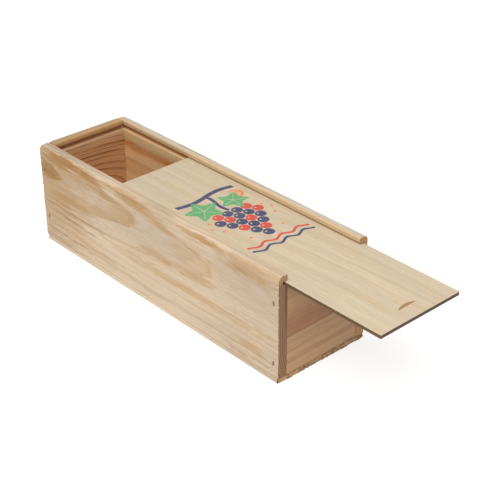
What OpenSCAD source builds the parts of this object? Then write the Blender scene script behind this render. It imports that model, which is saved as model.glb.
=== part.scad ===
// Pine bottle box with a thin lid that slides in grooves, shown with the lid partly drawn out.
// +X runs along the box to the end where the lid comes out, +Y to its far side, +Z up.
// The origin is at the centre of the underside of the box. Millimetres.

/* [Box] */
// Length of the long side boards, along X
box_length = 350; // [250:1:420]
// Width over the two side boards, along Y
box_width = 107; // [96:1:140]
// Height from the underside to the top of the side boards
box_height = 108; // [90:1:140]

/* [Boards] */
// Thickness of the two long side boards
side_thick = 10; // [9:0.5:14]
// Thickness of the two end boards
end_thick = 10; // [8:0.5:14]
// How far the back end board stands in from the back ends of the sides
end_inset = 1.5; // [0.5:0.5:4]
// How far the front end board stands in from the front ends of the sides
front_inset = 0.5; // [0.5:0.5:4]
// Thickness of the bottom board
bottom_thick = 5; // [4:0.5:8]
// How far the bottom board stops short of the back end of the sides
bottom_inset = 2; // [0.5:0.5:4]
// Radius of the long outer edges along the top
outer_round = 4.5; // [1:0.5:5]
// Radius of the long inner edges along the top
inner_round = 1.2; // [0.2:0.2:2]
// Radius of the outer edge along the top of the back end board
back_round = 2; // [0.5:0.5:4]

/* [Lid groove] */
// Wood left above the groove
lip_height = 6; // [5:0.2:9]
// Height of the groove, across the thickness of the lid
groove_height = 3.9; // [3.8:0.1:6]
// Depth of the groove in the side boards
groove_depth = 5.5; // [4:0.5:6]
// Depth of the groove in the back end board
back_groove_depth = 5; // [3:0.5:6]
// Chamfer along the lower inner edge of the wood above the groove
lip_chamfer = 1.5; // [0.5:0.1:2.5]

/* [Lid] */
// Thickness of the lid
lid_thick = 3.4; // [2:0.1:3.4]
// Gap under the lid in its groove
lid_lift = 0.1; // [0.05:0.05:0.3]
// Play of the lid across the box, both sides together
lid_play = 3; // [2:0.5:6]
// How far the lid sits to the far side of the middle
lid_shift = 0.8; // [-0.9:0.1:0.9]
// Gap behind the closed lid at the bottom of the back groove
lid_back_gap = 1.5; // [0.5:0.5:2]
// How far the lid is drawn out
lid_out = 107.5; // [0:0.5:200]
// Radius of the two front corners of the lid
lid_corner = 1; // [0.5:0.5:8]

/* [Thumb notch] */
// Length of the notch across the lid
notch_length = 23; // [16:1:40]
// Widest part of the crescent, along the lid
notch_width = 3.8; // [3:0.2:6]
// Depth of the notch at its straight wall
notch_depth = 1.6; // [1:0.1:1.8]
// Distance of the straight wall from the front of the lid
notch_setback = 14.7; // [8:0.5:40]

/* [Staples] */
// Length of the crown
crown_length = 5; // [4:0.5:8]
// Width of the flat wire
wire_width = 1.2; // [0.8:0.1:1.4]
// Thickness of the flat wire
wire_thick = 0.9; // [0.6:0.1:1.2]
// Length of the legs of the staples in the side boards
side_leg = 22; // [16:1:30]
// Length of the legs of the staples in the bottom board
base_leg = 14; // [10:1:15]
// How far the crowns are driven below the surface
sink = 0.6; // [0.2:0.1:1]

/* [Hidden] */
$fn = 48;
half_length = box_length / 2;
half_width = box_width / 2;
board_height = box_height - bottom_thick;
inner_width = box_width - 2 * side_thick;

// Heights of the groove and of the lid in it
groove_top = box_height - lip_height;
groove_floor = groove_top - groove_height;
lid_floor = groove_floor + lid_lift;
// The front end board stops just under the lid
front_gap = 0.4;
front_top = groove_floor - front_gap;

// The lid spans both grooves, and when closed it ends flush with the front ends of the sides
back_face = -half_length + end_inset + end_thick;
closed_back = back_face - back_groove_depth + lid_back_gap;
lid_length = half_length - closed_back;
lid_width = box_width - 2 * (side_thick - groove_depth) - lid_play;
lid_back = closed_back + lid_out;
lid_front = lid_back + lid_length;

// The crescent is where a ball dips into the top of the lid, behind a straight wall
notch_radius = (pow(notch_length / 2, 2) + pow(notch_width, 2)) / (2 * notch_width);
notch_reach = notch_radius - notch_width;
ball_rise = (pow(notch_radius, 2) - pow(notch_reach, 2) - pow(notch_depth, 2)) / (2 * notch_depth);
ball_radius = sqrt(pow(ball_rise, 2) + pow(notch_radius, 2));
ball_facets = 160;

// Places and slants of the staples, with heights as shares of the height of the box
side_names = ["near", "far"];
end_names = ["back", "front"];
level_names = ["low", "high"];
staple_end = end_inset + end_thick / 2;
staple_height = [[0.264, 0.759], [0.176, 0.741]];
staple_lean = [[-6, 8], [-9, 12]];
base_count = 4;
base_spread = 0.8;
base_lean = [3, -5, 6, -2];
tip_rise = 1.2;
overshoot = 1;
slot_play = 0.1;

function end_x(end) = end == 0 ? -half_length + staple_end : half_length - staple_end;
function base_x(i) = (i / (base_count - 1) - 0.5) * base_spread * box_length;

// Each side staple: name, side, x, z, slant
side_staples = [
    for (side = [0, 1], end = [0, 1], level = [0, 1])
        [str(side_names[side], "_", end_names[end], "_staple_", level_names[level]),
         side, end_x(end), staple_height[end][level] * box_height, staple_lean[end][level]]
];

// Each bottom staple: name, x, y, angle of the crown from X, board above
base_staples = [
    for (side = [0, 1], i = [0:base_count - 1])
        [str("base_", side_names[side], "_staple_", i + 1),
         base_x(i), (2 * side - 1) * (half_width - side_thick / 2), base_lean[i], side_names[side]],
    for (end = [0, 1])
        [str("base_", end_names[end], "_staple"), end_x(end), 0, 90 + base_lean[end], end_names[end]]
];

pine_side = [0.82, 0.70, 0.54];
pine_end = [0.66, 0.48, 0.33];
pine_base = [0.72, 0.55, 0.36];
lid_pale = [0.88, 0.81, 0.68];
steel_wire = [0.45, 0.44, 0.42];

// Outline of a wire staple in the XZ plane, top of the crown at z = 0, legs down
module staple_outline(leg) {
    half = crown_length / 2;
    inner = half - wire_thick;
    polygon([
        [-half, 0], [half, 0], [half, tip_rise - leg], [half - wire_thick / 2, -leg],
        [inner, tip_rise - leg], [inner, -wire_thick], [-inner, -wire_thick], [-inner, tip_rise - leg],
        [-half + wire_thick / 2, -leg], [-half, tip_rise - leg]
    ]);
}

// The wire itself, driven down from the origin
module staple(leg) {
    translate([0, wire_width / 2, -sink])
        rotate([90, 0, 0])
            linear_extrude(wire_width)
                staple_outline(leg);
}

// The holes that it makes, with the slot that its crown is sunk in
module staple_hole(leg) {
    staple(leg);
    translate([-crown_length / 2 - slot_play, -wire_width / 2 - slot_play, -sink])
        cube([crown_length + 2 * slot_play, wire_width + 2 * slot_play, sink + overshoot]);
}

// Puts a staple on the outer face of a side board, with its crown upright
module at_side(s) {
    mirror([0, s[1], 0])
        translate([s[2], -half_width, s[3]])
            rotate([90, 0, 0])
                rotate([0, 0, 90 + s[4]])
                    children();
}

// Puts a staple on the underside
module at_base(s) {
    translate([s[1], s[2], 0])
        rotate([180, 0, 0])
            rotate([0, 0, s[3]])
                children();
}

// The holes of the side staples on one side, or of all of them
module side_holes(side) {
    for (s = side_staples)
        if (side < 0 || s[1] == side)
            at_side(s) staple_hole(side_leg);
}

// The holes of the bottom staples under the named board, or under every board
module base_holes(board) {
    for (s = base_staples)
        if (board == "" || s[4] == board)
            at_base(s) staple_hole(base_leg);
}

// Section of a board with its outer face at x = 0 and rounded edges along the top
module board_section(thick, outer, inner) {
    square([thick, board_height - outer]);
    translate([outer, 0])
        square([thick - outer, board_height - inner]);
    translate([outer, 0])
        square([thick - outer - inner, board_height]);
    translate([outer, board_height - outer])
        circle(outer);
    translate([thick - inner, board_height - inner])
        circle(inner);
}

// Section of the groove, open to the inner face, with the chamfer above its mouth
module groove_section(thick, depth) {
    low = groove_floor - bottom_thick;
    translate([thick - depth, low])
        square([depth + overshoot, groove_height]);
    translate([thick, low + groove_height])
        polygon([[-lip_chamfer, 0], [-lip_chamfer, -overshoot], [overshoot, -overshoot],
                 [overshoot, lip_chamfer + overshoot], [0, lip_chamfer]]);
}

// A long side board, near side, with the groove along its whole inner face
module side_blank() {
    translate([-half_length, -half_width, bottom_thick])
        rotate([90, 0, 90])
            linear_extrude(box_length)
                difference() {
                    board_section(side_thick, outer_round, inner_round);
                    groove_section(side_thick, groove_depth);
                }
}

module near_side_board() {
    color(pine_side)
        difference() {
            side_blank();
            side_holes(0);
            base_holes("near");
        }
}

module far_side_board() {
    color(pine_side)
        difference() {
            mirror([0, 1, 0]) side_blank();
            side_holes(1);
            base_holes("far");
        }
}

module back_end_board() {
    color(pine_end)
        difference() {
            translate([-half_length + end_inset, inner_width / 2, bottom_thick])
                rotate([90, 0, 0])
                    linear_extrude(inner_width)
                        difference() {
                            board_section(end_thick, back_round, inner_round);
                            groove_section(end_thick, back_groove_depth);
                        }
            side_holes(-1);
            base_holes("back");
        }
}

module front_end_board() {
    color(pine_end)
        difference() {
            translate([half_length - front_inset - end_thick, -inner_width / 2, bottom_thick])
                cube([end_thick, inner_width, front_top - bottom_thick]);
            side_holes(-1);
            base_holes("front");
        }
}

module bottom_board() {
    color(pine_base)
        difference() {
            translate([-half_length + bottom_inset, -half_width, 0])
                cube([box_length - bottom_inset, box_width, bottom_thick]);
            base_holes("");
        }
}

// Crescent cut for a thumb, with its straight wall on the side that is pushed
module thumb_notch() {
    wall_x = lid_front - notch_setback;
    intersection() {
        translate([wall_x + notch_reach, lid_shift, lid_floor + lid_thick + ball_rise])
            sphere(ball_radius, $fn = ball_facets);
        translate([wall_x - 2 * notch_width, lid_shift - notch_length, lid_floor])
            cube([2 * notch_width, 2 * notch_length, 2 * lid_thick]);
    }
}

module sliding_lid() {
    half_lid = lid_width / 2;
    color(lid_pale)
        difference() {
            translate([0, lid_shift, lid_floor])
                linear_extrude(lid_thick) {
                    translate([lid_back, -half_lid])
                        square([lid_length - lid_corner, lid_width]);
                    translate([lid_back, lid_corner - half_lid])
                        square([lid_length, lid_width - 2 * lid_corner]);
                    for (side = [-1, 1])
                        translate([lid_front - lid_corner, side * (half_lid - lid_corner)])
                            circle(lid_corner);
                }
            thumb_notch();
        }
}

module side_staple(s) {
    color(steel_wire)
        at_side(s) staple(side_leg);
}

module base_staple(s) {
    color(steel_wire)
        at_base(s) staple(base_leg);
}

near_side_board();
far_side_board();
back_end_board();
front_end_board();
bottom_board();
sliding_lid();
for (s = side_staples)
    side_staple(s);
for (s = base_staples)
    base_staple(s);
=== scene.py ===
"""Looks of the pine bottle box: its boards, its printed lid, its staples and the studio round them."""
import math

import bmesh
import bpy
from bpy.props import FloatProperty, FloatVectorProperty, PointerProperty
from mathutils import Matrix, Vector, noise


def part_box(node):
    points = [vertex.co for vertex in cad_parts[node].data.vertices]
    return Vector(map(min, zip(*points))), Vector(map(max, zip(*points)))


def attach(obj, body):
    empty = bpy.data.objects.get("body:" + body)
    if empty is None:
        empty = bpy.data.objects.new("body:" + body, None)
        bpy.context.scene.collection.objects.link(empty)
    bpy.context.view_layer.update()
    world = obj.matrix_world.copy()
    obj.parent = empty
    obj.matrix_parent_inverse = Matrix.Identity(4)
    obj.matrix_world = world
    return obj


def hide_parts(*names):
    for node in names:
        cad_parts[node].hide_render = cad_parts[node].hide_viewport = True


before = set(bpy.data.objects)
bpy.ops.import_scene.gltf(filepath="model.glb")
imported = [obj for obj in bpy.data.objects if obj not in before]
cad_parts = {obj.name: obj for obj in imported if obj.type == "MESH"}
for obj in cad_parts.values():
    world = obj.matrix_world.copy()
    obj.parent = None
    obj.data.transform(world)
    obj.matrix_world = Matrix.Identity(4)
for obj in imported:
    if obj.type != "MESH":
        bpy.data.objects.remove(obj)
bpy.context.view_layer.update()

bl_info = {
    "name": "Pine Bottle Box",
    "version": (1, 0, 0),
    "blender": (4, 5, 0),
    "location": "3D View > Sidebar > Bottle Box",
    "description": "Dresses a sliding-lid pine box with grained boards, a printed lid and wire staples",
    "category": "Object",
}

MM = 0.001


# ---------------------------------------------------------------------------------------------
# Settings that a user would change
# ---------------------------------------------------------------------------------------------

def linear(code):
    """A colour written as six hex digits, in linear light."""
    shares = [int(code[i:i + 2], 16) / 255 for i in (0, 2, 4)]
    return tuple(s / 12.92 if s <= 0.04045 else ((s + 0.055) / 1.055) ** 2.4 for s in shares)


def tint(title, words, code):
    """A colour setting."""
    return FloatVectorProperty(
        name=title, description=words, default=linear(code), subtype="COLOR", size=3, min=0.0, max=1.0)


def length(title, words, millimetres):
    """A length setting."""
    return FloatProperty(
        name=title, description=words, default=millimetres * MM, min=0.0, unit="LENGTH", subtype="DISTANCE")


class BottleBoxShape(bpy.types.PropertyGroup):
    """Sizes of the marks that sawing, sanding and handling leave on the boards."""
    ease: length("Edge ease", "Radius that sanding leaves on the sawn edges", 0.35)
    wave: length("Wave", "How deep the planed faces dip", 0.14)
    chip: length("Chips", "Depth of the chips along the sawn ends", 1.3)
    worn: length(
        "Worn corners", "How far the back top corners of the side and back end boards are worn down", 2.2)
    tear: length("Tear", "Depth of the torn front end of the bottom board", 1.3)
    shred: length("Shred", "Mesh step of the torn front end", 0.4)
    fine: length("Fine step", "Mesh step near the chipped ends of the side boards", 0.6)
    coarse: length("Coarse step", "Mesh step along a board", 4.0)
    lid_ease: length("Lid edge ease", "Bevel of the cut edges of the lid", 0.2)


class BottleBoxColours(bpy.types.PropertyGroup):
    """Colours of the woods, the inks, the wire and the floor."""
    side_pale: tint("Side board", "Pale wood of the side boards", "C9B399")
    side_dull: tint("Side board, duller", "Greyer wood near the ends of the side boards", "B4A088")
    side_band: tint("Side band", "Soft golden bands of the side boards", "AB8349")
    side_dark: tint("Side band, darkest", "Brown middle of the strongest bands of the side boards", "916838")
    side_line: tint("Side line", "Thin late-wood lines of the side boards", "8A663A")
    # The groove's orange is partly the wood's own colour and partly painted warm shade from inside the box
    groove: tint("Groove floor", "Wood inside the lid groove", "D08C50")
    back_lip: tint("Back lip", "Golden wood above the groove of the back end board", "AE8350")
    side_lip: tint("Side lip", "Golden wood above the grooves of the side boards", "C4A880")
    far_pale: tint("Far board", "Pale wood of the far side board's top and outer face", "BFB3A0")
    # The far board's inner face: its pale wood warmed by painted bounce light and shade from inside the box
    far_inside_warm_bounce: tint("Far board inside", "Warm pale wood of the far board's inner face", "D3AF82")
    far_heart: tint("Far board heart", "Heartwood of the far side board", "E6BA88")
    far_band: tint("Far board band", "Orange band of the far side board", "BC6D1C")
    far_cut: tint("Far end grain", "Sawn ends of the far side board", "A67C50")
    end_cut: tint("End grain", "Sawn ends of the boards", "866141")
    end_ring: tint("End ring", "Rings on the sawn ends of the boards", "4E321F")
    front_pale: tint("Front board", "Pale wood of the front end board", "A6825C")
    front_heart: tint("Front heart", "Reddish heartwood of the front end board", "8C6040")
    front_band: tint("Front band", "Olive wood of the front end board", "8E7050")
    front_line: tint("Front line", "Thin lines of the front end board", "7A5235")
    back_pale: tint("Back board", "Pale wood of the back end board", "B7A88D")
    back_heart: tint("Back heart", "Heartwood of the back end board", "C68F62")
    back_band: tint("Back band", "Broad bands of the back end board", "BE8556")
    back_line: tint("Back line", "Dark lines of the back end board", "854E26")
    base_pale: tint("Bottom board", "Pale wood of the bottom board", "CDB79B")
    base_dull: tint("Bottom board, duller", "Greyer wood near the ends of the bottom board", "B39F86")
    base_band: tint("Bottom band", "Bands of the bottom board", "A88862")
    base_line: tint("Bottom line", "Lines of the bottom board", "8C6A46")
    torn_light: tint("Torn fibres", "Pale loose fibres of the torn edge", "AC875C")
    torn_brown: tint("Torn wood", "Brown wood of the torn edge", "845F3B")
    torn_dark: tint("Torn shade", "Dark pits of the torn edge", "5C402B")
    lid_pale: tint("Lid", "Sanded face of the lid", "C3B298")
    lid_band: tint("Lid band", "Faint bands of the lid", "B49C7C")
    lid_line: tint("Lid line", "Thin lines of the lid", "A78C6C")
    # The lid's edge colours are its dark cut wood with painted shade, the front edge more shaded than the
    # sides
    lid_front_edge_shaded: tint("Lid front edge", "Dark cut front edge of the lid", "503B29")
    lid_side: tint("Lid side edge", "Brown cut sides of the lid", "5E4527")
    notch: tint("Notch", "Cut floor of the thumb notch", "9C7650")
    ink_blue: tint("Blue ink", "Dark blue of the print", "383E62")
    ink_red: tint("Red ink", "Coral red of the print", "C4453A")
    ink_orange: tint("Orange ink", "Orange of the print", "DE7A3E")
    ink_green: tint("Green ink", "Green of the print", "58A067")
    wire: tint("Wire", "Staple wire, dark where it bends", "261F1A")
    wire_bright: tint("Bright wire", "Staple wire, rubbed bright", "66543F")
    floor: tint("Floor", "Studio floor", "959492")


class BottleBoxStudio(bpy.types.PropertyGroup):
    """Camera and light."""
    camera_place: FloatVectorProperty(
        name="Camera place", description="Where the camera stands", size=3, unit="LENGTH",
        subtype="TRANSLATION", default=(0.8087, -0.65912, 0.64665))
    camera_aim: FloatVectorProperty(
        name="Camera aim", description="Direction in which the camera looks", size=3,
        subtype="DIRECTION", default=(-0.64033, 0.57949, -0.50416))
    camera_roll: FloatProperty(
        name="Camera roll", description="Turn of the camera about its own line of sight",
        default=math.radians(-0.284), unit="ROTATION", subtype="ANGLE")
    lens: FloatProperty(name="Lens", description="Focal length on a 36 mm sensor", default=89.963, min=1.0)
    horizon: FloatProperty(
        name="Horizon", description="Light from the level of the horizon", default=1.0, min=0.0)
    sky: FloatProperty(name="Sky", description="Light from overhead, all round", default=0.46, min=0.0)
    floor_glow: FloatProperty(
        name="Floor glow", description="Light that the floor gives off", default=0.76, min=0.0)
    key: FloatProperty(name="Key", description="Power of the softbox", default=39.0, min=0.0, unit="POWER")
    key_place: FloatVectorProperty(
        name="Key place", description="Where the softbox hangs", size=3, unit="LENGTH",
        subtype="TRANSLATION", default=(0.7, -0.75, 1.7))
    key_size: FloatProperty(
        name="Key size", description="Side of the softbox", default=1.6, min=0.1, unit="LENGTH",
        subtype="DISTANCE")


SETTINGS = {
    "bottle_box_shape": BottleBoxShape,
    "bottle_box_colours": BottleBoxColours,
    "bottle_box_studio": BottleBoxStudio,
}


# ---------------------------------------------------------------------------------------------
# Shader maths
# ---------------------------------------------------------------------------------------------

class Num:
    """A number on its way through a material's nodes, so that sums on it read as sums."""

    def __init__(self, shade, socket):
        self.shade = shade
        self.socket = socket

    def sum(self, operation, *values):
        return self.shade.node("ShaderNodeMath", {"operation": operation}, dict(enumerate(values)))

    def __add__(self, other):
        return self.sum("ADD", self, other)

    __radd__ = __add__

    def __sub__(self, other):
        return self.sum("SUBTRACT", self, other)

    def __rsub__(self, other):
        return self.sum("SUBTRACT", other, self)

    def __mul__(self, other):
        return self.sum("MULTIPLY", self, other)

    __rmul__ = __mul__

    def __truediv__(self, other):
        return self.sum("DIVIDE", self, other)

    def __abs__(self):
        return self.sum("ABSOLUTE", self)

    def root(self):
        return self.sum("SQRT", self)

    def sine(self):
        return self.sum("SINE", self)

    def floor(self):
        return self.sum("FLOOR", self)

    def fraction(self):
        return self.sum("FRACT", self)

    def turn_from(self, other):
        """Angle of the point whose rise is this number and whose run is the other."""
        return self.sum("ARCTAN2", self, other)

    def most(self, other):
        return self.sum("MAXIMUM", self, other)

    def rise(self, low, high):
        """0 below low, 1 above high and a smooth step between them."""
        return self.shade.node(
            "ShaderNodeMapRange", {"interpolation_type": "SMOOTHSTEP"},
            {"Value": self, "From Min": low, "From Max": high})

    def fall(self, low, high):
        return 1.0 - self.rise(low, high)


def strongest(numbers):
    """The greatest of several numbers, or None where there are none."""
    total = None
    for number in numbers:
        total = number if total is None else total.most(number)
    return total


class Shade:
    """One material's nodes. Its place is the point on the object in millimetres."""

    def __init__(self, name):
        self.material = bpy.data.materials.new(name)
        self.material.use_nodes = True
        self.tree = self.material.node_tree
        self.tree.nodes.clear()
        self.surface = self.tree.nodes.new("ShaderNodeBsdfPrincipled")
        output = self.tree.nodes.new("ShaderNodeOutputMaterial")
        self.tree.links.new(self.surface.outputs["BSDF"], output.inputs["Surface"])
        place = self.node("ShaderNodeTexCoord", output="Object")
        self.place = self.scaled(place, 1 / MM)
        self.x, self.y, self.z = self.parts(self.place)

    def put(self, target, value):
        """Links a socket, or sets it to a plain value."""
        if isinstance(value, Num):
            value = value.socket
        if isinstance(value, bpy.types.NodeSocket):
            self.tree.links.new(value, target)
        elif hasattr(target.default_value, "__len__"):
            value = tuple(value)
            target.default_value = value + (1.0,) * (len(target.default_value) - len(value))
        else:
            target.default_value = value

    def node(self, kind, settings=None, inputs=None, output=0):
        """Adds a node: its settings first, then its sockets. Gives back one of its outputs."""
        made = self.tree.nodes.new(kind)
        for key, value in (settings or {}).items():
            setattr(made, key, value)
        for key, value in (inputs or {}).items():
            self.put(made.inputs[key], value)
        socket = made.outputs[output]
        return Num(self, socket) if socket.type == "VALUE" else socket

    def parts(self, vector):
        """The three numbers of a vector or colour."""
        first = self.node("ShaderNodeSeparateXYZ", None, {0: vector})
        return tuple(Num(self, socket) for socket in first.socket.node.outputs)

    def vector(self, x, y, z):
        return self.node("ShaderNodeCombineXYZ", None, {0: x, 1: y, 2: z})

    def noise(self, x, y, z, detail=2.0, rough=0.5, output="Fac"):
        """Smooth noise whose cells are one unit of its three inputs wide."""
        return self.node(
            "ShaderNodeTexNoise", {"noise_dimensions": "3D"},
            {"Vector": self.vector(x, y, z), "Scale": 1.0, "Detail": detail, "Roughness": rough}, output)

    def chance(self, value):
        """An even random number for each whole number."""
        return self.node("ShaderNodeTexWhiteNoise", {"noise_dimensions": "1D"}, {"W": value}, "Value")

    def mix(self, first, second, share):
        return self.node("ShaderNodeMix", {"data_type": "RGBA"}, {0: share, 6: first, 7: second}, 2)

    def scaled(self, vector, factor):
        return self.node("ShaderNodeVectorMath", {"operation": "SCALE"}, {0: vector, "Scale": factor})

    def times(self, first, second):
        """Two colours, multiplied."""
        return self.node("ShaderNodeVectorMath", {"operation": "MULTIPLY"}, {0: first, 1: second})

    def distance(self, vector, point):
        return self.node(
            "ShaderNodeVectorMath", {"operation": "DISTANCE"}, {0: vector, 1: point}, "Value")

    def finish(self, colour, roughness, height=None, depth=0.1):
        """Feeds the surface. depth is what a height of 1 stands for, in millimetres."""
        self.put(self.surface.inputs["Base Color"], colour)
        self.put(self.surface.inputs["Roughness"], roughness)
        if height is not None:
            normal = self.node(
                "ShaderNodeBump", None, {"Strength": 1.0, "Distance": depth * MM, "Height": height})
            self.put(self.surface.inputs["Normal"], normal)
        return self.material


# ---------------------------------------------------------------------------------------------
# Wood
# ---------------------------------------------------------------------------------------------

# Where the wood's looks change, in millimetres: the start and the end of each change.
# Distances to either side of the middle of the box
INNER_FACE = (44.0, 46.0)
GROOVE_BACK = (49.6, 50.2)
# Heights above the underside of the box
LIP_FOOT = (102.2, 102.6)
RIM = (106.0, 107.4)
# Distances from a sawn end
END_FADE = (0.25, 0.6)
# The height under which the lines on a sawn end curve in, and half the width of a soft border
CURVE_BELOW = 38.0
BLUR = 0.2
# Factors on red, green and blue
COOL_HUE = (0.985, 1.0, 1.02, 1.0)
WARM_HUE = (1.02, 1.0, 0.96, 1.0)
# How much light reaches the groove of the back end board, against those of the side boards
BACK_GROOVE_LIGHT = 0.67


class Timber:
    """How a board was cut from its log, in millimetres.

    along is the axis of the grain and span where the board ends on it. pith is where the heart of the log
    crosses the middle of the board, as the other two coordinates, and lean how it slants along the grain.
    straight says how far above or below the heart the rings begin to run level, and do so fully.
    The heartwood and each band are given as radii: where it starts, is full, stops being full and ends.
    A band also has a strength. lines are single late-wood lines: radius, half width, strength.
    points are pointed figures, such as a flat-sawn board shows: where the tip is along the board and how
    high, how quickly the figure closes above and below the tip, how deep its band is there, and its strength.
    stains are ragged patches in the colour of the bands, streaks in that of the lines, and dull ones greyer.
    Each has its place along the board and its height, half length, half height, strength, and slope.
    With flat="Y" the place across the board stands for the height. ripple is how far the lines wave.
    droop bends the figure down: from which place along the board, how fast, and above what height not at
    all. even is how alike the other lines are, soft how blurred, and rough how ragged the bands. calm is
    where the lines fade in. cap is the height above which there are no marks.
    end_gap is the spacing of the lines on the sawn ends, and end_bend how they curve in near the bottom."""

    def __init__(self, along, span, pith, lean=(0.0, 0.0), straight=None, heart=None, bands=(), lines=(),
                 points=(), stains=(), streaks=(), dull=(), line_gap=8.0, ring_gap=2.2, wander=3.0,
                 ripple=None, droop=None, seed=0.0, even=0.15, rough=0.6, calm=None, soft=0.0, cap=None,
                 end_gap=None, end_bend=0.0, flat="Z"):
        self.along = along
        self.span = span
        self.pith = pith
        self.lean = lean
        self.straight = straight
        self.heart = heart
        self.bands = bands
        self.lines = lines
        self.points = points
        self.stains = stains
        self.streaks = streaks
        self.dull = dull
        self.line_gap = line_gap
        self.ring_gap = ring_gap
        self.wander = wander
        self.ripple = wander * 0.9 if ripple is None else ripple
        self.droop = droop
        self.seed = seed
        self.even = even
        self.rough = rough
        self.calm = calm
        self.soft = soft
        self.cap = cap
        self.end_gap = end_gap
        self.end_bend = end_bend
        self.flat = flat


NEAR_SIDE = Timber(
    "X", (-175.0, 175.0), (-21.5, 84.0), (0.1, 0.0), straight=(10.0, 30.0),
    points=(
        (-140.0, 82.0, 0.21, 0.48, 60.0, 0.6), (-18.0, 83.0, 0.26, 0.155, 50.0, 0.39),
        (90.0, 74.0, 0.165, 0.22, 34.0, 0.24)),
    stains=(
        # Where the pointed bands are strongest
        (-160.0, 83.5, 22.0, 13.0, 1.0, -0.05), (-130.0, 103.0, 48.0, 6.5, 0.9, 0.01),
        (-96.0, 101.0, 34.0, 7.0, 0.75, -0.08), (-146.0, 98.0, 40.0, 6.0, 0.75, -0.02),
        (-112.0, 93.0, 44.0, 8.0, 0.36, -0.05), (-74.0, 92.0, 34.0, 6.0, 0.5, -0.16),
        (-34.0, 83.0, 20.0, 10.0, 0.3, -0.1), (-79.0, 71.0, 20.0, 9.0, 0.35, 0.0),
        (-134.0, 60.0, 56.0, 12.0, 0.5, 0.03), (-110.0, 61.0, 30.0, 12.0, 0.4, 0.1),
        (-26.0, 101.5, 44.0, 8.0, 0.52, -0.1), (14.0, 93.0, 34.0, 5.4, 0.4, -0.17),
        (58.0, 78.0, 44.0, 16.0, 0.18, 0.0), (10.0, 58.8, 50.0, 6.0, 0.3, 0.03),
        (66.0, 60.5, 36.0, 6.6, 0.3, 0.05), (80.0, 103.0, 34.0, 5.6, 0.5, 0.0),
        (138.0, 96.0, 46.0, 8.0, 0.34, -0.03), (140.0, 104.0, 60.0, 4.6, 0.28, 0.0),
        # Soft level bands lower down, and the golden back part
        (60.0, 41.0, 170.0, 6.0, 0.3, 0.0), (140.0, 21.0, 28.0, 6.0, 0.3, 0.0),
        (-104.0, 22.4, 80.0, 4.4, 0.3, 0.0), (-160.0, 60.0, 90.0, 80.0, 0.3, 0.0)),
    streaks=(
        (-150.0, 51.8, 34.0, 1.7, 0.75, 0.0), (-126.0, 46.6, 60.0, 2.2, 0.9, 0.0),
        (-80.0, 47.6, 9.0, 2.6, 0.5, 0.0), (-122.0, 37.8, 60.0, 2.4, 0.9, -0.03),
        (-120.0, 16.2, 74.0, 2.2, 0.75, 0.0), (0.0, 15.0, 90.0, 2.0, 0.5, 0.0),
        (-148.0, 8.0, 36.0, 1.4, 0.5, 0.0), (-66.0, 93.6, 20.0, 1.6, 0.5, -0.15),
        (26.0, 57.6, 9.0, 1.6, 0.5, -0.1), (66.0, 86.2, 42.0, 1.5, 0.5, -0.03),
        (50.0, 57.2, 5.0, 1.6, 0.5, 0.0), (84.0, 84.4, 3.6, 1.2, 0.8, 0.0),
        (94.0, 98.8, 26.0, 1.4, 0.5, -0.08), (128.0, 94.8, 22.0, 1.5, 0.6, -0.08),
        (112.0, 10.8, 22.0, 1.8, 0.5, -0.2), (127.0, 8.4, 16.0, 1.9, 0.7, 0.0),
        (154.0, 11.0, 28.0, 1.8, 0.5, 0.06), (-100.0, 104.0, 36.0, 1.1, 0.7, 0.0),
        (-124.0, 100.4, 30.0, 1.1, 0.6, -0.02), (-82.0, 97.5, 26.0, 1.2, 0.7, -0.16),
        (-30.0, 103.6, 28.0, 1.1, 0.6, -0.04), (2.0, 97.4, 24.0, 1.1, 0.5, -0.14)),
    dull=(
        (-150.0, 86.0, 120.0, 60.0, 1.0, 0.0), (-190.0, 40.0, 110.0, 70.0, 0.6, 0.0),
        (170.0, 82.0, 130.0, 46.0, 0.95, 0.0), (190.0, 30.0, 60.0, 60.0, 0.7, 0.0),
        (-10.0, 78.0, 140.0, 40.0, 0.75, 0.0), (140.0, 24.0, 90.0, 30.0, 0.6, 0.0),
        (160.0, 44.0, 50.0, 18.0, 0.6, 0.0), (15.0, 104.0, 40.0, 10.0, 0.9, 0.0)),
    line_gap=6.3, ring_gap=2.6, wander=1.8, ripple=3.6, seed=3.0, calm=(50.0, 56.0), soft=1.0, cap=106.4,
    end_gap=2.3, end_bend=-0.0065)
FAR_SIDE = Timber(
    "X", (-175.0, 175.0), (62.0, 152.0), (0.02, 0.0), heart=(66.0, 67.4, 200.0, 210.0),
    bands=(
        (66.4, 67.6, 71.5, 78.0, 1.0), (84.0, 88.0, 96.0, 110.0, 0.25), (118.0, 124.0, 128.0, 136.0, 0.4)),
    line_gap=11.0, ring_gap=2.6, wander=2.2, seed=11.0, end_gap=2.4, end_bend=0.004)
FRONT_END = Timber(
    "Y", (-43.5, 43.5), (150.0, -150.0), (0.0, 0.02), heart=(194.6, 195.6, 206.0, 234.0),
    bands=(
        (212.0, 240.0, 262.0, 280.0, 0.8), (176.0, 180.0, 182.5, 183.5, 0.35),
        (166.5, 168.5, 171.0, 173.0, 0.5), (185.5, 188.0, 193.5, 194.6, 0.65)),
    lines=(
        (184.6, 0.5, 0.8), (181.0, 0.4, 0.5), (169.6, 0.6, 0.7), (188.4, 0.3, 0.4), (196.4, 0.7, 0.6),
        (207.5, 0.5, 0.4), (213.6, 0.4, 0.35), (226.0, 0.5, 0.4)),
    line_gap=12.3, ring_gap=3.1, wander=1.2, seed=5.0)
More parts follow.
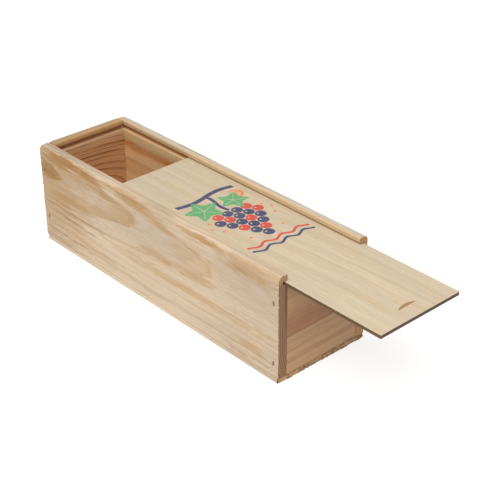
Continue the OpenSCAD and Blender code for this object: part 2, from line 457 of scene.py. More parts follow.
BACK_END = Timber(
    "Y", (-43.5, 43.5), (-173.9, 40.0), (-0.2, 0.0), heart=(-2.0, -1.0, 46.0, 76.0),
    lines=(
        (55.8, 0.7, 1.0), (50.3, 0.8, 1.1), (46.4, 0.6, 0.7), (41.9, 0.8, 1.1), (37.4, 0.7, 0.9),
        (31.6, 0.7, 1.0), (25.3, 0.7, 0.9), (17.0, 0.6, 0.5), (53.2, 0.4, 0.6), (48.3, 0.4, 0.5),
        (44.2, 0.4, 0.5)),
    line_gap=3.1, ring_gap=1.5, wander=0.9, ripple=1.3, droop=(0.0, 5e-05, 98.0), seed=9.0, soft=0.5)
BASE = Timber(
    "X", (-173.0, 175.0), (-12.0, -38.0), (0.05, 0.02),
    dull=((-190.0, 3.0, 120.0, 60.0, 0.55, 0.0), (180.0, 3.0, 150.0, 60.0, 0.8, 0.0)),
    bands=((30.0, 36.0, 40.0, 42.0, 0.7), (66.0, 72.0, 75.0, 77.0, 0.6)),
    line_gap=6.4, ring_gap=2.0, wander=3.0, seed=17.0)
LID = Timber(
    "X", (-59.5, 282.5), (-150.0, 30.0), (0.035, 0.0),
    bands=(
        (139.0, 143.0, 146.0, 149.0, 0.5), (168.0, 172.0, 173.5, 175.5, 0.35),
        (180.0, 186.0, 189.0, 193.0, 0.4), (156.0, 158.0, 159.0, 162.0, 0.6)),
    streaks=(
        (-30.0, 18.0, 40.0, 1.4, 0.45, -0.5), (-20.0, -12.0, 60.0, 1.6, 0.35, -0.16),
        (150.0, 9.0, 90.0, 1.6, 0.5, -0.03), (228.0, 5.4, 70.0, 1.6, 0.7, -0.01),
        (200.0, -5.0, 110.0, 1.8, 0.5, 0.03), (236.0, -17.0, 60.0, 2.8, 0.5, 0.02),
        (236.0, 34.0, 60.0, 1.4, 0.35, 0.04), (150.0, 30.0, 90.0, 1.4, 0.3, -0.05),
        (130.0, -28.0, 120.0, 1.6, 0.4, 0.02), (236.0, -34.0, 60.0, 1.6, 0.35, 0.0),
        (30.0, 40.0, 80.0, 1.5, 0.35, 0.03)),
    line_gap=8.2, ring_gap=2.4, wander=4.6, seed=23.0, even=0.25, rough=0.3, flat="Y")


class Grain:
    """The figure of a board: growth rings as shells round a slanting heart, and its fibres."""

    def __init__(self, shade, timber):
        self.shade = shade
        self.timber = timber
        run, a, b = (shade.x, shade.y, shade.z) if timber.along == "X" else (shade.y, shade.x, shade.z)
        seed = timber.seed
        slow = shade.parts(shade.noise(run * 0.006 + seed, a * 0.02, b * 0.02, 2.0, 0.5, "Color"))
        quick = shade.parts(shade.noise(run * 0.028 + seed, a * 0.09, b * 0.09, 2.0, 0.5, "Color"))
        self.radius = self.ring_radius(run, a, b, slow, quick)
        # Streaks, fibres, mottling, drifts of hue and short dark flecks
        self.blotch = shade.noise(run * 0.012 + seed, a * 0.06, b * 0.06, 3.0, 0.6)
        self.streak = shade.noise(run * 0.01 + seed, a * 0.5, b * 0.5, 2.0, 0.55)
        self.fibre = shade.noise(run * 0.04, a * 1.3, b * 1.3, 3.0, 0.65)
        self.thread = shade.noise(run * 0.12, a * 4.0, b * 4.0, 2.0, 0.6)
        self.mottle = shade.noise(run * 0.09 + seed, a * 0.55, b * 0.55, 3.0, 0.65)
        self.drift = shade.noise(run * 0.016, a * 0.07, b * 0.11 + 60.0, 3.0, 0.6)
        self.fleck = shade.noise(run * 0.14, a * 2.4, b * 2.4 + 31.0, 1.0).rise(0.6, 0.78)
        # The plane of the run and the height, for the marks that are drawn on it
        height = (b if timber.flat == "Z" else a) + (quick[1] - 0.5) * 5.0 + (slow[1] - 0.5) * 6.0
        self.flat = shade.vector(run + (quick[0] - 0.5) * 14.0, height, 0.0)
        self.tatter = (self.mottle - 0.5) * 1.5 + (self.fibre - 0.5) * 1.3 + (self.streak - 0.5) * 0.9
        self.band = self.broad_bands()
        self.dull = self.ragged_marks(timber.dull, self.tatter * 0.35)
        self.heart = None
        if timber.heart:
            start, full, hold, end = timber.heart
            self.heart = self.radius.rise(start, full) * self.radius.fall(hold, end)
        uneven = shade.noise(self.radius * 0.045, seed, 0.0, 1.0)
        self.line = self.late_wood(uneven)
        self.ring = self.ring_lines(self.radius / timber.ring_gap + uneven * 5.0, seed + 7.0)
        self.end_ring = self.sawn_rings(slow[0]) if timber.end_gap else self.ring
        first, last = timber.span
        outer, inner = END_FADE
        self.end = run.rise(last - inner, last - outer).most(run.fall(first + outer, first + inner))

    def ring_radius(self, run, a, b, slow, quick):
        """Distance from the heart of the log, which slants and wanders."""
        timber = self.timber
        reach = timber.wander * 4.0
        slant = run
        if timber.straight:
            slant = run * abs(b - timber.pith[1]).fall(*timber.straight)
        off_a = a - timber.pith[0] - slant * timber.lean[0]
        off_a = off_a + (slow[0] - 0.5) * reach + (quick[0] - 0.5) * timber.ripple
        off_b = b - timber.pith[1] - run * timber.lean[1]
        if timber.droop:
            start, speed, level = timber.droop
            past = (run - start).most(0.0)
            off_b = off_b + past * past * ((level - b) * speed)
        off_b = off_b + (slow[1] - 0.5) * reach + (quick[1] - 0.5) * timber.ripple
        return (off_a * off_a + off_b * off_b).root()

    def broad_bands(self):
        """Bands, ragged at the edges and patchy along their length, with the stains and the points."""
        timber = self.timber
        rough = timber.rough
        ragged = self.radius + (self.mottle - 0.5) * 5.0 * rough + (self.fibre - 0.5) * 2.5 * rough
        total = strongest(
            ragged.rise(start, full) * ragged.fall(hold, end) * strength
            for start, full, hold, end, strength in timber.bands)
        if total is not None:
            patchy = 0.5 + 0.6 * (self.blotch * 0.6 + self.mottle * 0.4).rise(0.36, 0.6)
            total = total * patchy
        marks = self.ragged_marks(timber.stains, self.tatter)
        if timber.points:
            marks = marks.most(self.pointed_bands(self.tatter * 15.0))
        if marks is not None:
            marks = marks * (0.1 + 1.2 * self.mottle + 0.6 * self.streak)
            total = marks if total is None else total.most(marks)
            if timber.cap:
                total = total * self.shade.z.fall(timber.cap, timber.cap + 1.0)
        return total

    def ragged_marks(self, marks, tatter):
        """Long soft patches on the plane of the grain's run and the height."""
        return strongest(self.ragged_mark(tatter, *mark) for mark in marks)

    def ragged_mark(self, tatter, place, height, half_length, half_height, strength, slope):
        shade = self.shade
        local = shade.node(
            "ShaderNodeMapping", {"vector_type": "TEXTURE"},
            {"Vector": self.flat, "Location": (place, height, 0.0), "Rotation": (0.0, 0.0, math.atan(slope)),
             "Scale": (half_length, half_height, 1.0)})
        away = shade.node("ShaderNodeVectorMath", {"operation": "LENGTH"}, {0: local}, "Value")
        return shade.node(
            "ShaderNodeMapRange", {"interpolation_type": "SMOOTHSTEP"},
            {"Value": away + tatter, "From Min": 0.25, "From Max": 1.1, "To Min": strength, "To Max": 0.0})

    def pointed_bands(self, tatter):
        """Nested pointed bands, each sharp on its outer side and fading inwards."""
        shade = self.shade
        along, height, _ = shade.parts(self.flat)
        bands = []
        for tip, level, above, below, depth, strength in self.timber.points:
            rise = height - level
            closing = shade.node(
                "ShaderNodeMapRange", None,
                {"Value": rise, "From Min": -2.0, "From Max": 2.0, "To Min": below, "To Max": above})
            inside = tip - along - rise * rise * closing + tatter
            broad = inside.rise(-1.0, 5.0) * inside.fall(depth * 0.3, depth * 1.6) * 0.85
            rim = inside.rise(-1.0, 2.0) * inside.fall(2.0, 14.0) * 0.5
            bands.append((broad + rim) * strength)
        return strongest(bands)

    def late_wood(self, uneven):
        """Lines that rise slowly and end sharply, each with its own strength, and the streaks."""
        timber = self.timber
        soft = timber.soft
        turn = self.radius / timber.line_gap + uneven * 1.8
        share = turn.fraction()
        strength = self.shade.chance(turn.floor() + timber.seed)
        total = share.rise(0.5 - 0.25 * soft, 0.9 - 0.12 * soft) * share.fall(0.92 - 0.14 * soft, 1.0)
        total = total * (timber.even + (1.0 - timber.even) * strength * strength)
        if timber.calm:
            total = total * (0.1 + 0.42 * self.radius.rise(*timber.calm))
        faint = 0.45 + 0.9 * self.blotch.rise(0.35, 0.62)
        for radius, half, strength in timber.lines:
            off = self.radius - radius
            single = off.rise(-2.2 * half, 0.0) * off.fall(0.3 * half, 1.3 * half) * faint * strength
            total = total.most(single)
        if timber.streaks:
            total = total.most(self.ragged_marks(timber.streaks, self.tatter * 0.7))
        return total

    def ring_lines(self, turn, seed):
        """Lines that each darken slowly across a ring and stop sharply, some stronger than others."""
        share = turn.fraction()
        strength = self.shade.chance(turn.floor() + seed)
        return share.rise(0.35, 0.9) * share.fall(0.9, 1.0) * (0.3 + 0.7 * strength)

    def sawn_rings(self, sway):
        """The lines on a sawn end, which stand upright and curve near the bottom."""
        shade, timber = self.shade, self.timber
        low = (CURVE_BELOW - shade.z).most(0.0)
        across = shade.y + low * low * timber.end_bend + (sway - 0.5) * 3.0
        across = across + (shade.noise(5.0, shade.y * 0.12, shade.z * 0.05 + timber.seed, 2.0) - 0.5) * 2.2
        return self.ring_lines(across / timber.end_gap + 90.0, timber.seed + 3.0)


def staple_stain_and_shade(shade, names):
    """Darker wood round the crowns of the named staples: painted shade at the slots they sink into, and a
    rust stain.
    """
    smudge = shade.noise(shade.x * 0.9, shade.y * 0.9, shade.z * 0.9, 2.0)
    return strongest(
        (shade.distance(shade.place, staple_crown(name)[0] / MM) + (smudge - 0.5) * 2.0).fall(1.0, 3.0)
        for name in names)


class Tones:
    """The colours of one board, and how strongly its bands, lines and fibres show.

    inner is the colour of the inner face, dull that of the greyer patches and dark that of the strongest
    bands. coarse is how strong the texture is."""

    def __init__(self, pale, band, line, heart=None, band_share=0.9, line_share=0.5, inner=None, coarse=1.0,
                 dull=None, dark=None, ring_share=0.3):
        self.pale = pale
        self.band = band
        self.line = line
        self.heart = heart
        self.band_share = band_share
        self.line_share = line_share
        self.inner = inner
        self.coarse = coarse
        self.dull = dull
        self.dark = dark
        self.ring_share = ring_share


def inner_face(shade):
    """1 on the inner faces of the side boards and between them, and 0 further out."""
    return abs(shade.y).fall(*INNER_FACE)


def planed(shade, grain, tones):
    """Colour of the planed faces of a board."""
    face = tones.pale
    if tones.dull is not None and grain.dull is not None:
        face = shade.mix(face, tones.dull, grain.dull)
    # Painted warm bounce light and shade on the inner faces, over the wood's own tone
    if tones.inner is not None:
        below_lip = abs(shade.y).fall(*GROOVE_BACK) * shade.z.fall(*LIP_FOOT)
        face = shade.mix(face, tones.inner, inner_face(shade).most(below_lip))
    strong = 1.0
    if tones.heart is not None:
        strong = 0.35 + 0.65 * inner_face(shade)
        face = shade.mix(face, tones.heart, grain.heart * strong)
    if grain.band is not None:
        face = shade.mix(face, tones.band, grain.band * (strong * tones.band_share))
        if tones.dark is not None:
            face = shade.mix(face, tones.dark, grain.band * grain.band)
    ring = grain.ring * (tones.ring_share + shade.z.rise(*RIM) * 0.8) * tones.line_share
    face = shade.mix(face, tones.line, (grain.line * tones.line_share).most(ring))
    texture = (grain.fibre - 0.5) * 0.26 + (grain.blotch - 0.5) * 0.1 + (grain.mottle - 0.5) * 0.16
    texture = texture + (grain.streak - 0.5) * 0.22 - grain.fleck * 0.14
    face = shade.times(face, shade.mix(COOL_HUE, WARM_HUE, grain.drift.rise(0.3, 0.7)))
    return shade.scaled(face, 1.01 + texture * tones.coarse)


def board_wood(name, timber, tones, staples, end_tone=None, inside=None, torn_from=None, cut_tone=None):
    """Planed wood of one board, with its sawn or torn ends and the marks round its staples.

    end_tone gives a colour that the sawn ends are multiplied by, and cut_tone is their own colour where it
    isn't the usual one. inside says where the wood above the groove shows, and where that in the groove does.
    torn_from is the place along the box where the torn end starts, in millimetres."""
    colours = bpy.context.scene.bottle_box_colours
    shade = Shade(name)
    grain = Grain(shade, timber)
    face = planed(shade, grain, tones)
    if inside is not None:
        lip, floor = inside(shade)
        is_side = timber.along == "X"
        lip_colour = colours.side_lip if is_side else colours.back_lip
        texture = 0.78 + grain.fibre * 0.24 + grain.streak * 0.2
        face = shade.mix(face, shade.scaled(lip_colour, texture), lip * (0.75 + grain.mottle * 0.3))
        if not is_side:
            texture = texture * BACK_GROOVE_LIGHT
        # The groove colour carries painted warm shade as well as the wood's own colour
        face = shade.mix(face, shade.scaled(colours.groove, texture), floor)
    # End grain drinks the light: darker, with plain rings and saw marks
    ring_share = 0.6 if cut_tone else 1.0
    cut = shade.mix(cut_tone or colours.end_cut, colours.end_ring, grain.end_ring * ring_share)
    saw = shade.noise(shade.x * 0.3, shade.y * 1.6, shade.z * 0.9, 3.0, 0.7)
    cut = shade.scaled(cut, 0.74 + saw * 0.5)
    if end_tone is not None:
        cut = shade.times(cut, end_tone(shade))
    colour = shade.mix(face, cut, grain.end)
    relief = grain.fibre * 0.5 + grain.thread * 0.25 + grain.ring * 0.12 + grain.mottle * 0.2
    relief = relief * (1.0 - grain.end) + grain.end * (saw * 1.2 + grain.end_ring * 0.4)
    if torn_from is not None:
        torn = shade.x.rise(torn_from, torn_from + 0.8)
        patch = shade.noise(shade.y * 0.11, shade.z * 0.25, 3.0, 3.0, 0.65)
        tuft = shade.noise(shade.y * 0.45 + shade.z * 0.3, shade.z * 0.55, shade.x * 0.4, 3.0, 0.65)
        pit = shade.noise(shade.y * 0.33, shade.z * 0.5, 8.0, 3.0, 0.7)
        near = shade.y.fall(-46.0, -42.0)
        pale = (patch + tuft * 0.5 + near * 0.4).rise(0.68, 0.88)
        rough = shade.mix(colours.torn_brown, colours.torn_light, pale)
        rough = shade.mix(rough, colours.torn_dark, pit.rise(0.55, 0.66) * (0.85 - near * 0.6))
        colour = shade.mix(colour, shade.scaled(rough, 0.75 + tuft * 0.5), torn)
        relief = relief + torn * (tuft + pit) * 1.6
    if staples:
        # Painted shade at the staple slots, with a rust stain
        colour = shade.mix(colour, colours.end_ring, staple_stain_and_shade(shade, staples) * 0.3)
    roughness = 0.56 + grain.fibre * 0.12 + grain.end * 0.12
    return shade.finish(colour, roughness, relief, 0.09)


# ---------------------------------------------------------------------------------------------
# Board shapes
# ---------------------------------------------------------------------------------------------

# Shares of the ease at which rings stand where an end is rounded
EASE_STEPS = (0.0, 0.13, 0.5, 1.0)
# How far the wear of a back top corner reaches, in millimetres
WEAR_REACH = 6.0


def ring_of(corners, arc_step=0.35):
    """A closed ring of points through corners (u, v, radius, step), in millimetres.

    radius rounds the corner, and step is the longest stretch between points on the edge that follows it."""
    path = []
    count = len(corners)
    for i, (u, v, radius, step) in enumerate(corners):
        here = Vector((u, v))
        back = (Vector(corners[i - 1][:2]) - here).normalized()
        ahead = (Vector(corners[(i + 1) % count][:2]) - here).normalized()
        if radius <= 0:
            path.append((here, step))
            continue
        half = back.angle(ahead) / 2
        centre = here + (back + ahead).normalized() * (radius / math.sin(half))
        start = here + back * (radius / math.tan(half)) - centre
        end = here + ahead * (radius / math.tan(half)) - centre
        first = math.atan2(start.y, start.x)
        sweep = (math.atan2(end.y, end.x) - first + math.pi) % (2 * math.pi) - math.pi
        pieces = max(2, math.ceil(radius * abs(sweep) / arc_step))
        for k in range(pieces + 1):
            angle = first + sweep * k / pieces
            spot = centre + Vector((math.cos(angle), math.sin(angle))) * radius
            path.append((spot, step if k == pieces else radius))
    ring = []
    for i, (here, step) in enumerate(path):
        there = path[(i + 1) % len(path)][0]
        pieces = max(1, math.ceil((there - here).length / step))
        ring += [here.lerp(there, k / pieces) for k in range(pieces)]
    return ring


def inward_of(ring):
    """For each point of a ring, the direction into the wood."""
    area = sum(a.x * b.y - b.x * a.y for a, b in zip(ring, ring[1:] + ring[:1]))
    side = 1 if area > 0 else -1
    inward = []
    for i, here in enumerate(ring):
        before, after = here - ring[i - 1], ring[(i + 1) % len(ring)] - here
        along = before.normalized() + after.normalized()
        inward.append(Vector((-along.y, along.x)).normalized() * side)
    return inward


def stations(first, last, ease, fine, coarse):
    """Places along a board, close together near its two ends, in millimetres."""
    half = [ease * share for share in EASE_STEPS]
    step = fine
    middle = (last - first) / 2
    while half[-1] + step < middle:
        half.append(half[-1] + step)
        if half[-1] > 6.0:
            step = min(coarse, step * 1.25)
    return [first + s for s in half] + [last - s for s in reversed(half)]


def carry(name, ring, places, put, ease, dent):
    """A solid made by carrying a ring along places, in millimetres.

    put turns a place and a ring point into a point in space, and dent says how far that point sinks in."""
    mesh = bmesh.new()
    inward = inward_of(ring)
    rows = []
    for s in places:
        depth = min(s - places[0], places[-1] - s)
        inset = ease - math.sqrt(max(0.0, ease ** 2 - max(0.0, ease - depth) ** 2))
        row = []
        for point, into in zip(ring, inward):
            sunk = point + into * (inset + dent(put(s, point), depth))
            row.append(mesh.verts.new(put(s, sunk) * MM))
        rows.append(row)
    count = len(ring)
    for a, b in zip(rows, rows[1:]):
        for i in range(count):
            j = (i + 1) % count
            mesh.faces.new((a[i], a[j], b[j], b[i]))
    mesh.faces.new(rows[0])
    mesh.faces.new(list(reversed(rows[-1])))
    bmesh.ops.recalc_face_normals(mesh, faces=mesh.faces)
    return object_of(name, mesh)


def put_in_scene(name, data):
    made = bpy.data.objects.new(name, data)
    bpy.context.scene.collection.objects.link(made)
    return made


def object_of(name, mesh):
    """An object with the shape that was worked on."""
    data = bpy.data.meshes.new(name)
    mesh.to_mesh(data)
    mesh.free()
    return put_in_scene(name, data)


def clamp(value):
    return min(1.0, max(0.0, value))


def box_of(node):
    """The low and the high corner of a CAD node, in millimetres."""
    return tuple(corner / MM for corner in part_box(node))


def soften(data, degrees=14):
    """Smooth shading that stays sharp at the real edges."""
    data.shade_smooth()
    data.set_sharp_from_angle(angle=math.radians(degrees))


def dip(spot, size, depth):
    """Shallow waves in a planed face, 0 to depth."""
    return depth * (0.5 + 0.5 * noise.noise(spot / size))


def staple_crown(name):
    """Middle of a crown's outer face, the way it faces, its long direction, half its length and width."""
    faces = {"near": Vector((0, -1, 0)), "far": Vector((0, 1, 0)), "base": Vector((0, 0, -1))}
    face = faces[name.split("_")[0]]
    points = [v.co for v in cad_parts[name].data.vertices]
    top = max(p.dot(face) for p in points)
    crown = [p for p in points if top - p.dot(face) < 0.05 * MM]
    middle = sum(crown, Vector()) / len(crown)
    first = Vector((1, 0, 0))
    second = face.cross(first)
    spots = [((p - middle).dot(first), (p - middle).dot(second)) for p in crown]
    angle = 0.5 * math.atan2(2 * sum(u * v for u, v in spots), sum(u * u - v * v for u, v in spots))
    along = first * math.cos(angle) + second * math.sin(angle)
    across = face.cross(along)
    half_length = max((p - middle).dot(along) for p in crown)
    half_width = max((p - middle).dot(across) for p in crown)
    return middle, face, along, half_length, half_width


def cut_pockets(board, names, sink=0.6, wire=0.9, play=0.04):
    """Cuts the slots that the staples' crowns are sunk in. Lengths are in millimetres."""
    mesh = bmesh.new()
    for name in names:
        middle, face, along, half_length, half_width = staple_crown(name)
        turn = Matrix((along, face.cross(along), face)).transposed().to_4x4()
        low, high = -(wire + play) * MM, (sink + 1.0) * MM
        size = Vector((2 * half_length + 2 * play * MM, 2 * half_width + 2 * play * MM, high - low))
        place = Matrix.Translation(middle + face * (low + high) / 2)
        bmesh.ops.create_cube(mesh, size=1.0, matrix=place @ turn @ Matrix.Diagonal(size).to_4x4())
    cutter = object_of(board.name + "_cutter", mesh)
    modifier = board.modifiers.new("Pockets", "BOOLEAN")
    modifier.operation = "DIFFERENCE"
    modifier.solver = "EXACT"
    modifier.object = cutter
    bpy.context.view_layer.update()
    cut = bpy.data.meshes.new_from_object(board.evaluated_get(bpy.context.evaluated_depsgraph_get()))
    board.modifiers.clear()
    board.data = cut
    bpy.data.objects.remove(cutter)


def staples_in(*starts):
    """Names of the staples that start with one of these words."""
    return sorted(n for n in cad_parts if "staple" in n and n.startswith(starts))


def dress(board, node, material):
    """Lets a finished board stand for its CAD node."""
    soften(board.data)
    board.data.materials.clear()
    board.data.materials.append(material)
    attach(board, "lid" if node == "sliding_lid" else "box")
    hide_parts(node)


class Sizes:
    """Sizes of the box in millimetres: the outer ones read from its solids, and those of its lid groove."""

    def __init__(self):
        low, high = box_of("near_side_board")
        self.half_length = high.x
        self.half_width = -low.y
        self.thick = high.y - low.y
        self.bottom = low.z
        self.top = high.z
        self.groove = (98.1, 102.0)
        self.groove_depth = 5.5
        self.back_groove_depth = 5.0
        self.lip = 1.5

    def grooved(self, outer, inner, depth, top_radius, first_step, wide):
        """Corners of a board with the lid groove in its inner face, for ring_of."""
        low, high = self.groove
        sawn, eased, sill, close = 0.6, 1.2, 0.8, 0.8
        return [
            (outer, self.bottom, sawn, first_step), (outer, self.top, top_radius, wide),
            (inner, self.top, eased, wide), (inner, high + self.lip, sawn, close),
            (inner - self.lip, high, sawn, wide), (inner - depth, high, 0, wide),
            (inner - depth, low, 0, wide), (inner, low, sill, wide), (inner, self.bottom, sawn, wide),
        ]


# ---------------------------------------------------------------------------------------------
# The pieces
# ---------------------------------------------------------------------------------------------

class BOTTLE_BOX_OT_side_boards(bpy.types.Operator):
    """Make the two long side boards with their lid grooves, chipped ends and staple slots"""
    bl_idname = "bottle_box.side_boards"
    bl_label = "Side boards"

    def execute(self, context):
        shape = context.scene.bottle_box_shape
        colours = context.scene.bottle_box_colours
        size = Sizes()
        low, high = size.groove
        corners = size.grooved(0, size.thick, size.groove_depth, top_radius=4.5, first_step=0.8, wide=4.0)
        ring = ring_of(corners)
        ease, fine, coarse = shape.ease / MM, shape.fine / MM, shape.coarse / MM
        wave, chip, worn = shape.wave / MM, shape.chip / MM, shape.worn / MM
        places = stations(-size.half_length, size.half_length, ease, fine, coarse)
        chip_reach, chip_margin = 2.5, 6.0

        def dent(spot, depth):
            """Waves, chips at the ends of the outer face, and the worn back top corner."""
            sunk = dip(spot, 22.0, wave)
            margin = min(spot.z - size.bottom, size.top - spot.z) - chip_margin
            if depth < chip_reach and margin > 0 and abs(spot.y) > size.half_width - 0.1:
                away = Vector((7.3, 1.1, 4.2))
                bite = noise.noise(Vector((spot.x * 0.02, spot.y * 0.5, spot.z * 0.4)) + away)
                shred = noise.noise(Vector((spot.x * 0.02, spot.y, spot.z * 1.1)))
                bite = max(0.0, bite * 0.8 + shred * 0.4 + 0.1)
                sunk += chip * bite * min(1.0, margin / 4.0) * (1 - depth / chip_reach) ** 2
            if depth < WEAR_REACH and spot.x < 0 and spot.z > size.top - WEAR_REACH:
                sunk += worn * (1 - depth / WEAR_REACH) ** 2 * (1 - (size.top - spot.z) / WEAR_REACH)
            return sunk

        def inside(shade):
            """Where the wood above the groove and at the top's inner edge shows, and the groove's own."""
            across = abs(shade.y)
            over = shade.z.rise(106.0, 107.8)
            above = across.fall(46.0, 50.0) * shade.z.rise(high - BLUR, high + BLUR) * (1.0 - over)
            lip = above + over * across.fall(43.6, 46.6) * 0.3
            floor = across.rise(46.8, 48.6) * across.fall(*GROOVE_BACK)
            return lip, floor * shade.z.rise(low - 0.8, low - BLUR) * shade.z.fall(high - BLUR, high + BLUR)

        near_tones = Tones(
            colours.side_pale, colours.side_band, colours.side_line, band_share=1.5, line_share=0.65,
            dull=colours.side_dull, dark=colours.side_dark, ring_share=0.2)
        far_tones = Tones(
            colours.far_pale, colours.far_band, colours.side_line, colours.far_heart, band_share=1.3,
            line_share=0.34, inner=colours.far_inside_warm_bounce, ring_share=0.8)
        for word, side, timber, tones, end_tone, cut_tone in (
                ("near", -1, NEAR_SIDE, near_tones, self.near_end_tone_and_shade, None),
                ("far", 1, FAR_SIDE, far_tones, None, colours.far_cut)):
            board = carry(
                word + "_side_dressed", ring, places,
                lambda s, p, side=side: Vector((s, side * (size.half_width - p.x), p.y)), ease, dent)
            cut_pockets(board, staples_in(word))
            marks = staples_in(word, "base_" + word)
            wood = board_wood(word + "_side_pine", timber, tones, marks, end_tone, inside, cut_tone=cut_tone)
            dress(board, word + "_side_board", wood)
        return {"FINISHED"}

    @staticmethod
    def near_end_tone_and_shade(shade):
        """The near board's ends are darkest along the inner face, where painted shade stands for the corner
        against the end board, and palest above the groove.
        """
        plain, palest = (1.0, 1.0, 1.0, 1.0), (1.7, 1.95, 2.4, 1.0)
        inner = shade.y.rise(-47.2, -45.6)
        # Painted shade in the corner where the inner face meets the end board
        dark = inner * shade.z.rise(30.0, 85.0) * shade.z.fall(97.0, 99.0)
        above = shade.mix(plain, palest, shade.z.rise(99.0, 104.0))
        return shade.scaled(above, 1.0 - dark * 0.45)


class BOTTLE_BOX_OT_end_boards(bpy.types.Operator):
    """Make the two end boards, the back one with its lid groove"""
    bl_idname = "bottle_box.end_boards"
    bl_label = "End boards"

    def execute(self, context):
        shape = context.scene.bottle_box_shape
        colours = context.scene.bottle_box_colours
        size = Sizes()
        low, high = size.groove
        ease, wave = shape.ease / MM * 0.8, shape.wave / MM
        wide, worn = shape.coarse / MM, shape.worn / MM
        sideways_reach = 5.0

        def dent(spot, depth):
            """Waves, and the worn back top corners of the back board."""
            sunk = dip(spot + Vector((0, 0, 90)), 18.0, wave)
            back = spot.x + size.half_length
            if back < WEAR_REACH and depth < sideways_reach and spot.z > size.top - WEAR_REACH:
                corner = (1 - back / WEAR_REACH) ** 2 * (1 - (size.top - spot.z) / WEAR_REACH)
                sunk += worn * corner * (1 - depth / sideways_reach) ** 2
            return sunk

        back_low, back_high = box_of("back_end_board")
        inner = back_high.x
        back = size.grooved(
            back_low.x, inner, size.back_groove_depth, top_radius=2.0, first_step=wide, wide=wide)
        front_low, front_high = box_of("front_end_board")
        front = [
            (x, z, 0.5, wide) for x, z in (
                (front_low.x, front_low.z), (front_low.x, front_high.z),
                (front_high.x, front_high.z), (front_high.x, front_low.z))]
        places = stations(back_low.y, back_high.y, ease, 1.0, wide)

        def inside(shade):
            """Where the wood above the groove and on the top shows, and the groove's own."""
            over = shade.z.rise(106.6, 107.6)
            lip = shade.x.rise(inner - 3.0, inner - 1.6) * shade.z.rise(high - BLUR, high + BLUR)
            lip = lip.most(over * 0.38)
            floor = shade.x.rise(inner - 5.6, inner - 5.2) * shade.z.rise(low - BLUR, low + BLUR)
            floor = floor * shade.x.fall(inner - 1.0, inner - 0.4)
            return lip, floor * shade.z.fall(high - BLUR, high + BLUR)

        back_tones = Tones(
            colours.back_pale, colours.back_band, colours.back_line, colours.back_heart,
            band_share=0.8, line_share=0.8)
        front_tones = Tones(
            colours.front_pale, colours.front_band, colours.front_line, colours.front_heart, coarse=2.0)
        for name, corners, timber, tones, groove, cut_tone in (
                ("back_end", back, BACK_END, back_tones, inside, colours.back_lip),
                ("front_end", front, FRONT_END, front_tones, None, None)):
            board = carry(
                name + "_dressed", ring_of(corners), places, lambda s, p: Vector((p.x, s, p.y)), ease, dent)
            wood = board_wood(name + "_pine", timber, tones, (), inside=groove, cut_tone=cut_tone)
            dress(board, name + "_board", wood)
        return {"FINISHED"}


class BOTTLE_BOX_OT_bottom_board(bpy.types.Operator):
    """Make the bottom board with its torn front end and its staple slots"""
    bl_idname = "bottle_box.bottom_board"
    bl_label = "Bottom board"

    def execute(self, context):
        shape = context.scene.bottle_box_shape
        colours = context.scene.bottle_box_colours
        low, high = box_of("bottom_board")
        ease, fine, wide = shape.ease / MM, shape.shred / MM, 6.0
        wave, tear = shape.wave / MM, shape.tear / MM
        torn = high.x - 4.0
        broken_corner, corner_reach = 1.4, 3.5
        tuft_rise, tuft_depth, tuft_foot = 1.5, 1.3, 2.5
        corners = [
            (low.x, low.z, 0.6, 1.0), (low.x, high.z, 0.6, wide), (torn, high.z, 0, fine),
            (high.x, high.z, 0, fine), (high.x, low.z, 0, fine), (torn, low.z, 0, wide),
        ]
        rounded = [ease * share for share in EASE_STEPS]
        flat = high.y - low.y - 2 * ease
        steps = round(flat / fine)
        places = [low.y + s for s in rounded]
        places += [low.y + ease + flat * k / steps for k in range(1, steps)]
        places += [high.y - s for s in reversed(rounded)]

        def dent(spot, depth):
            """Waves, the torn front end and its broken far corner."""
            sunk = dip(spot, 20.0, wave)
            nearness = max(0.0, (spot.x - torn) / (high.x - torn))
            if nearness > 0:
                slant = spot.y + spot.z * 0.9
                coarse = noise.noise(Vector((slant * 0.09, spot.z * 0.2, 2.0)))
                splinter = noise.noise(Vector((slant * 0.33, spot.z * 0.35, 9.0)))
                shred = noise.noise(Vector((slant * 1.1, spot.z * 0.5, 5.0)))
                bite = 0.2 + 0.7 * coarse + 0.5 * splinter + 0.2 * shred
                sunk += tear * clamp(bite) * nearness ** 2
                corner = max(0.0, 1 - (high.y - spot.y) / corner_reach)
                sunk += broken_corner * corner ** 2 * nearness
            return sunk

        def put(s, point):
            """Stands the torn fibres up a little in front of the front end board."""
            front = clamp((point.x - high.x + tuft_depth) / 0.4)
            front *= max(0.0, (point.y - tuft_foot) / tuft_foot)
            between = clamp((43.0 - abs(s)) / 2.0)
            tuft = 0.35 + 0.9 * noise.noise(Vector((s * 0.1, 4.0, 1.0)))
            tuft += 0.8 * noise.noise(Vector((s * 0.37, 7.0, 2.0)))
            return Vector((point.x, s, point.y + front * between * tuft_rise * clamp(tuft)))

        board = carry("bottom_dressed", ring_of(corners), places, put, ease * 0.8, dent)
        marks = staples_in("base")
        cut_pockets(board, marks)
        tones = Tones(colours.base_pale, colours.base_band, colours.base_line, dull=colours.base_dull)
        wood = board_wood("bottom_pine", BASE, tones, marks, torn_from=high.x - 2.2)
        dress(board, "bottom_board", wood)
        return {"FINISHED"}


